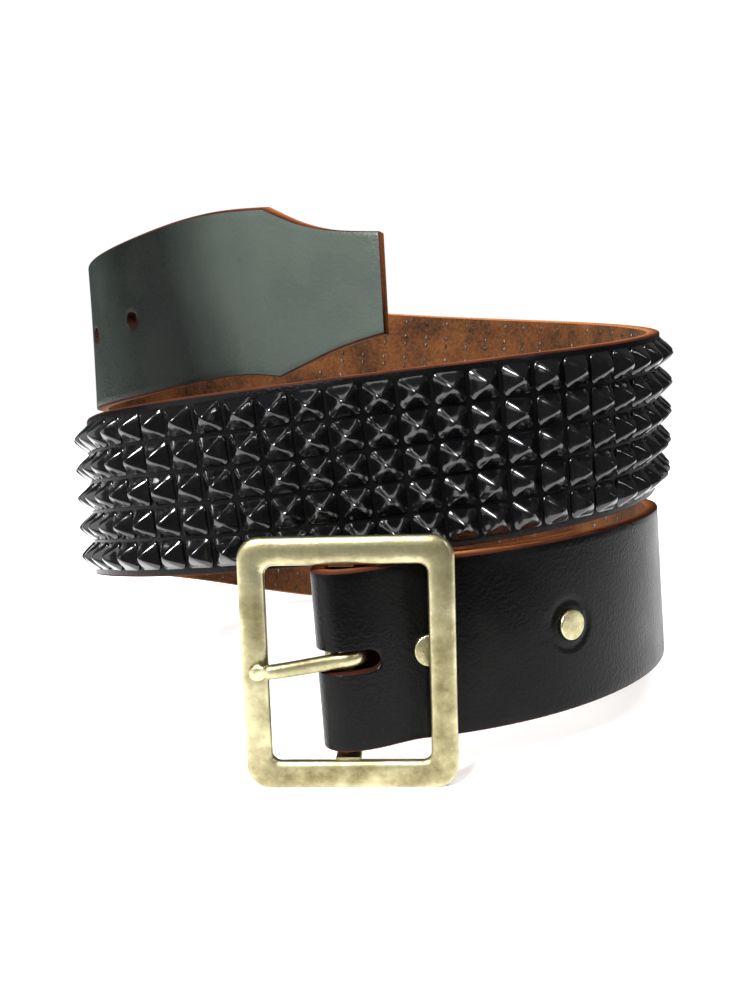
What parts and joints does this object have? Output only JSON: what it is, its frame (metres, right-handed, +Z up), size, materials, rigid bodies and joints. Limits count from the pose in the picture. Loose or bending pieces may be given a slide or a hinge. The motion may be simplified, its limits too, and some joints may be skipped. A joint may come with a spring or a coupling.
{
  "type": "studded belt",
  "caption": "Leather belt rolled on its edge, covered by rows of pyramid studs, with a square frame buckle, a swinging tongue, two flat rivets and a stepped tip",
  "frame": {"origin": "middle of the roll's outline, on the floor that the belt stands on", "axes": "+Z up across the strap, -Y the front with the buckle, +X to the right of someone who faces the buckle"},
  "size_m": [0.1838, 0.1894, 0.1425],
  "materials": {
    "strap": "black grain side with a soft sheen, brown raw edges and brown flesh side",
    "studs": "glossy black enamel over pressed steel",
    "buckle": "pale antique brass, tumbled, worn bright on the edges",
    "rivets": "pale antique brass, satin"
  },
  "bodies": {
    "belt": {"strap": "strap", "studs_lower": "studs", "studs_upper": "studs", "buckle_frame": "buckle", "rivet_near": "rivets", "rivet_far": "rivets"},
    "tongue": {"buckle_tongue": "buckle"}
  },
  "joints": [
    {"name": "tongue_swing", "type": "hinge", "parent": "belt", "child": "tongue", "pos_m": [-0.00958, -0.08716, 0.0321], "axis": [0, 0, 1], "range_deg": [0, 90]}
  ]
}
